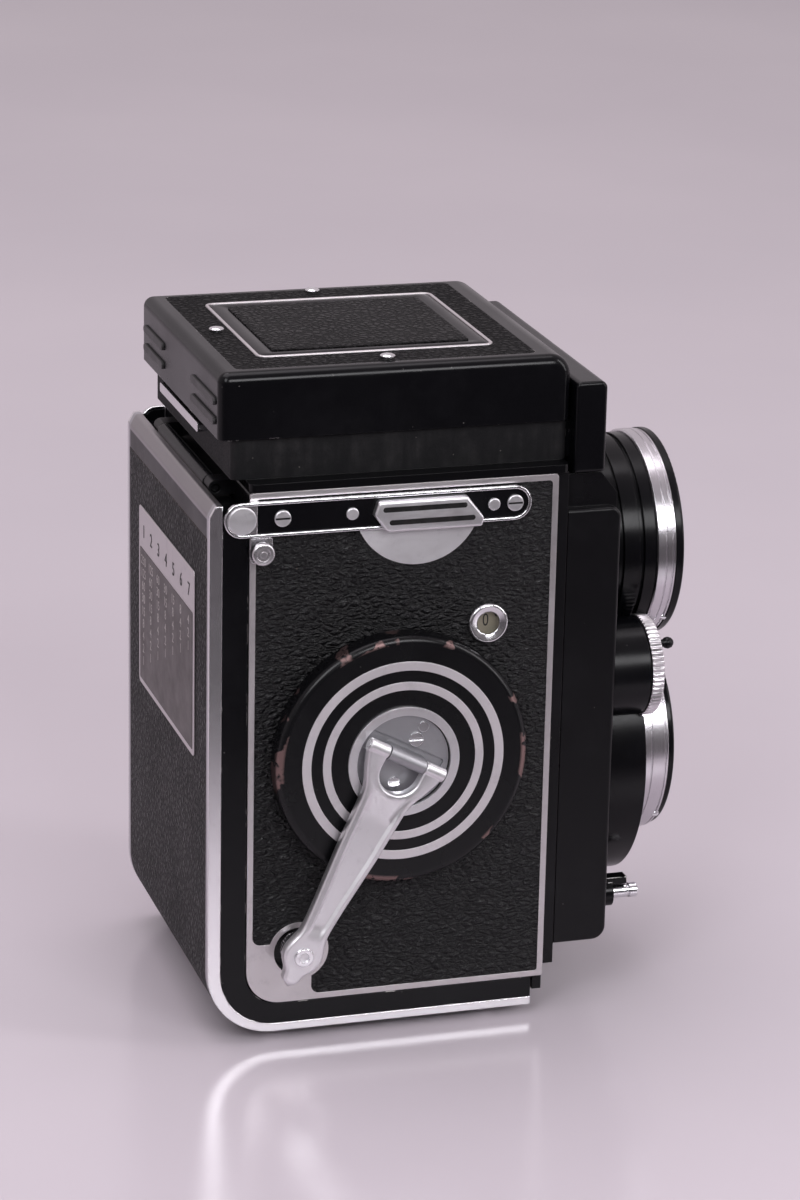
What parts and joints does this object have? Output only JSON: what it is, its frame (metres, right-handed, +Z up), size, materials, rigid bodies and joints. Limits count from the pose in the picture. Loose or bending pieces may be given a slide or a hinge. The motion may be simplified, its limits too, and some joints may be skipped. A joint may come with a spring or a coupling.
{
  "type": "twin lens reflex camera",
  "caption": "Box-shaped film camera with one lens above the other, a folding finder hood on top, a winding crank on one side and a focusing knob on the other.",
  "frame": {"origin": "mouth of the tripod socket, in the middle of the bottom", "axes": "+Z up through the finder hood, -Y out through the lenses, -X out through the winding crank"},
  "size_m": [0.0995, 0.1096, 0.148],
  "materials": {
    "black_paint": "gloss black enamel, worn at the edges",
    "matte_black": "matte black, dusty",
    "cast_alloy": "blackened die casting",
    "black_leather": "pebbled black leatherette",
    "bright_chrome": "bright and satin chrome plating",
    "satin_aluminium": "satin aluminium",
    "brass": "turned brass",
    "steel": "plain steel",
    "lens_glass": "coated optical glass",
    "clear_glass": "clear glass",
    "mirror_glass": "surface-silvered glass",
    "dial_paint": "cream dial with plain numbers",
    "table_print": "printed metal plate with plain numbers",
    "spool_plastic": "black moulded plastic"
  },
  "bodies": {
    "body": {"body_casting": "cast_alloy", "side_covers": "black_paint", "side_trim_frames": "satin_aluminium", "side_leathers": "black_leather", "strap_lug_bars": "bright_chrome", "strap_bridges": "bright_chrome", "side_screws": "bright_chrome", "counter_bezel": "bright_chrome", "counter_glass": "clear_glass", "nameplate_block": "black_paint", "hood_base": "matte_black", "focusing_screen": "clear_glass", "reflex_mirror": "mirror_glass"},
    "upper_roller": {"upper_film_roller": "steel"},
    "lower_roller": {"lower_film_roller": "steel"},
    "counter": {"counter_dial": "dial_paint"},
    "exposure_button": {"exposure_button": "bright_chrome"},
    "door": {"back_door": "black_paint", "door_edge_trim": "bright_chrome", "door_leather": "black_leather", "exposure_table": "table_print", "pressure_plate": "matte_black", "pressure_springs": "steel", "feet": "bright_chrome", "tripod_bush": "steel"},
    "door_latch": {"door_latch": "bright_chrome"},
    "crank": {"crank_disc": "black_paint", "crank_rings": "satin_aluminium", "crank_rim": "bright_chrome", "crank_hub_plate": "satin_aluminium", "crank_fasteners": "brass", "crank_shaft_gear": "steel"},
    "crank_arm": {"crank_arm": "satin_aluminium"},
    "crank_knob": {"crank_knob": "bright_chrome"},
    "take_up": {"take_up_gear": "brass", "take_up_spool": "spool_plastic"},
    "supply_spool_knob": {"supply_spool_knob": "bright_chrome"},
    "take_up_spool_knob": {"take_up_spool_knob": "bright_chrome"},
    "focus_knob": {"focus_knob": "bright_chrome"},
    "lens_standard": {"lens_standard": "black_paint", "viewing_barrel": "black_paint", "shutter_housing": "black_paint", "bayonet_rings": "bright_chrome", "lens_rims": "black_paint", "lens_glasses": "lens_glass", "shutter_blades": "steel"},
    "speed_wheel": {"speed_wheel": "bright_chrome"},
    "aperture_wheel": {"aperture_wheel": "bright_chrome"},
    "release_button": {"release_button": "bright_chrome"},
    "release_lock": {"release_lock": "black_paint"},
    "hood_lid": {"hood_lid": "black_paint", "lid_leather": "black_leather", "finder_panel": "black_leather", "lid_bright_trim": "bright_chrome", "magnifier": "matte_black", "magnifier_lens": "lens_glass"},
    "hood_panel_crank_side": {"hood_panel_crank_side": "matte_black"},
    "hood_panel_focus_side": {"hood_panel_focus_side": "matte_black"},
    "hood_panel_rear": {"hood_panel_rear": "matte_black"},
    "hood_catch": {"hood_catch": "bright_chrome"}
  },
  "joints": [
    {"name": "crank_turn", "type": "hinge", "parent": "body", "child": "crank", "pos_m": [-0.04, -0.00326, 0.061], "axis": [-1, 0, 0], "continuous": true},
    {"name": "arm_unfold", "type": "hinge", "parent": "crank", "child": "crank_arm", "pos_m": [-0.0449, -0.0031, 0.0622], "axis": [0, 0.8854, 0.4648], "range_deg": [0, 180]},
    {"name": "crank_knob_spin", "type": "hinge", "parent": "crank_arm", "child": "crank_knob", "pos_m": [-0.041, 0.01884, 0.02041], "axis": [-1, 0, 0], "continuous": true},
    {"name": "take_up_spin", "type": "hinge", "parent": "body", "child": "take_up", "pos_m": [-0.033, 0.0158, 0.09248], "axis": [-1, 0, 0], "continuous": true},
    {"name": "counter_turn", "type": "hinge", "parent": "body", "child": "counter", "pos_m": [-0.035, -0.02, 0.094], "axis": [-1, 0, 0], "continuous": true},
    {"name": "upper_roller_spin", "type": "hinge", "parent": "body", "child": "upper_roller", "pos_m": [0, 0.0269, 0.0813], "axis": [1, 0, 0], "continuous": true},
    {"name": "lower_roller_spin", "type": "hinge", "parent": "body", "child": "lower_roller", "pos_m": [0, 0.0269, 0.0194], "axis": [1, 0, 0], "continuous": true},
    {"name": "door_open", "type": "hinge", "parent": "body", "child": "door", "pos_m": [0, 0.033, 0.1177], "axis": [1, 0, 0], "range_deg": [0, 95]},
    {"name": "door_latch_turn", "type": "hinge", "parent": "door", "child": "door_latch", "pos_m": [0, -0.024, -0.001], "axis": [0, 0, 1], "range_deg": [0, 90]},
    {"name": "focus_slide", "type": "slide", "parent": "body", "child": "lens_standard", "axis": [0, -1, 0], "range_m": [0, 0.007]},
    {"name": "focus_knob_turn", "type": "hinge", "parent": "body", "child": "focus_knob", "pos_m": [0.045, -0.004, 0.061], "axis": [1, 0, 0], "range_deg": [0, 270]},
    {"name": "speed_wheel_turn", "type": "hinge", "parent": "lens_standard", "child": "speed_wheel", "pos_m": [-0.0248, -0.062, 0.0718], "axis": [0, -1, 0], "range_deg": [-120, 120]},
    {"name": "aperture_wheel_turn", "type": "hinge", "parent": "lens_standard", "child": "aperture_wheel", "pos_m": [0.0248, -0.062, 0.0718], "axis": [0, -1, 0], "range_deg": [-100, 100]},
    {"name": "release_press", "type": "slide", "parent": "lens_standard", "child": "release_button", "axis": [0, 1, 0], "range_m": [0, 0.003], "stiffness_N_per_m": 300, "springref_m": -0.001},
    {"name": "release_lock_turn", "type": "hinge", "parent": "lens_standard", "child": "release_lock", "pos_m": [-0.028, -0.054, 0.0205], "axis": [0, -1, 0], "range_deg": [0, 60]},
    {"name": "supply_knob_pull", "type": "slide", "parent": "body", "child": "supply_spool_knob", "axis": [1, 0, 0], "range_m": [0, 0.0045]},
    {"name": "take_up_knob_pull", "type": "slide", "parent": "body", "child": "take_up_spool_knob", "axis": [1, 0, 0], "range_m": [0, 0.0045]},
    {"name": "exposure_button_press", "type": "slide", "parent": "body", "child": "exposure_button", "axis": [1, 0, 0], "range_m": [0, 0.001], "stiffness_N_per_m": 400, "springref_m": -0.001},
    {"name": "hood_open", "type": "hinge", "parent": "body", "child": "hood_lid", "pos_m": [0, -0.0361, 0.1401], "axis": [1, 0, 0], "range_deg": [0, 90]},
    {"name": "hood_panel_crank_side_turn", "type": "hinge", "parent": "body", "child": "hood_panel_crank_side", "pos_m": [-0.0316, 0, 0.1313], "axis": [0, -1, 0], "range_deg": [0, 90]},
    {"name": "hood_panel_focus_side_turn", "type": "hinge", "parent": "body", "child": "hood_panel_focus_side", "pos_m": [0.0316, 0, 0.1313], "axis": [0, 1, 0], "range_deg": [0, 90]},
    {"name": "hood_panel_rear_turn", "type": "hinge", "parent": "body", "child": "hood_panel_rear", "pos_m": [0, 0.0295, 0.1325], "axis": [-1, 0, 0], "range_deg": [0, 90]},
    {"name": "hood_catch_press", "type": "slide", "parent": "body", "child": "hood_catch", "axis": [0, -1, 0], "range_m": [0, 0.0008], "stiffness_N_per_m": 400, "springref_m": -0.0005}
  ],
  "couplings": [
    {"joint": "take_up_spin", "follows": "crank_turn", "ratio": -2.5385},
    {"joint": "counter_turn", "follows": "crank_turn", "ratio": 0.083333},
    {"joint": "focus_knob_turn", "follows": "focus_slide", "rad_per_m": 673.2},
    {"joint": "hood_panel_crank_side_turn", "follows": "hood_open", "ratio": 1},
    {"joint": "hood_panel_focus_side_turn", "follows": "hood_open", "ratio": 1},
    {"joint": "hood_panel_rear_turn", "follows": "hood_open", "ratio": 1}
  ]
}
